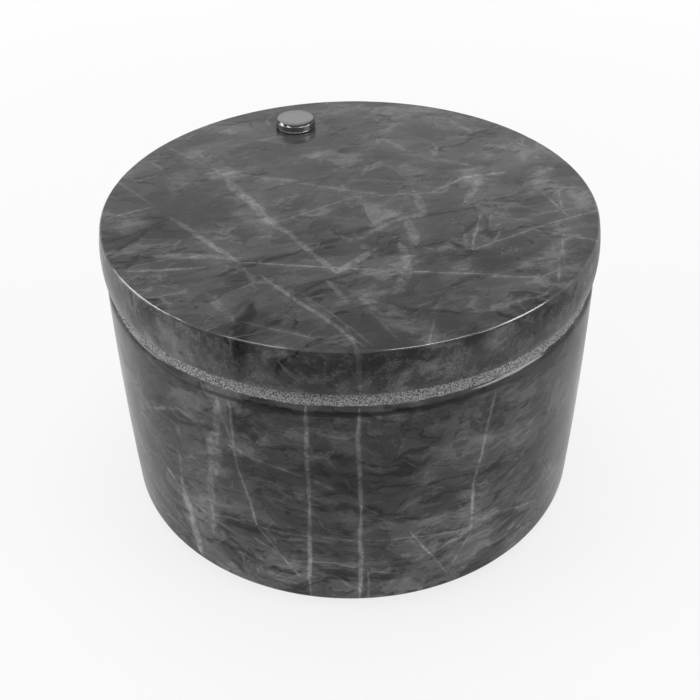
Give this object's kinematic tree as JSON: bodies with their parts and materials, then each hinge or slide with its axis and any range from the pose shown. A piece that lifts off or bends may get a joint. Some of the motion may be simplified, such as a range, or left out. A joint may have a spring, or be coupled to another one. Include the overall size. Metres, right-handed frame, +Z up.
{
  "type": "salt cellar",
  "caption": "Round marble salt cellar: a thick turned stone bowl under a flat stone lid that swivels aside on an upright steel pin set near its edge.",
  "frame": {"origin": "middle of the pot, on the surface that its pads stand on", "axes": "+Z up, +Y from the middle towards the swivel pin, +X to the right with the pin at the back"},
  "size_m": [0.108, 0.108, 0.0717],
  "materials": {
    "marble": "polished charcoal marble with pale veins; honed and unpolished on the rim's bevel",
    "pin_steel": "polished stainless steel",
    "washer_steel": "plain stainless steel",
    "bush_plastic": "natural nylon",
    "sleeve_plastic": "natural nylon",
    "pad_rubber": "matte black rubber"
  },
  "bodies": {
    "pot": {"pot": "marble", "pivot_pin": "pin_steel", "head_washer": "washer_steel", "thrust_washer": "bush_plastic", "anchor_sleeve": "sleeve_plastic", "foot_pad_1": "pad_rubber", "foot_pad_2": "pad_rubber", "foot_pad_3": "pad_rubber", "foot_pad_4": "pad_rubber"},
    "lid": {"lid": "marble", "lid_bush": "bush_plastic"}
  },
  "joints": [
    {"name": "lid_swivel", "type": "hinge", "parent": "pot", "child": "lid", "pos_m": [0, 0.0401, 0.05945], "axis": [0, 0, 1], "continuous": true}
  ]
}
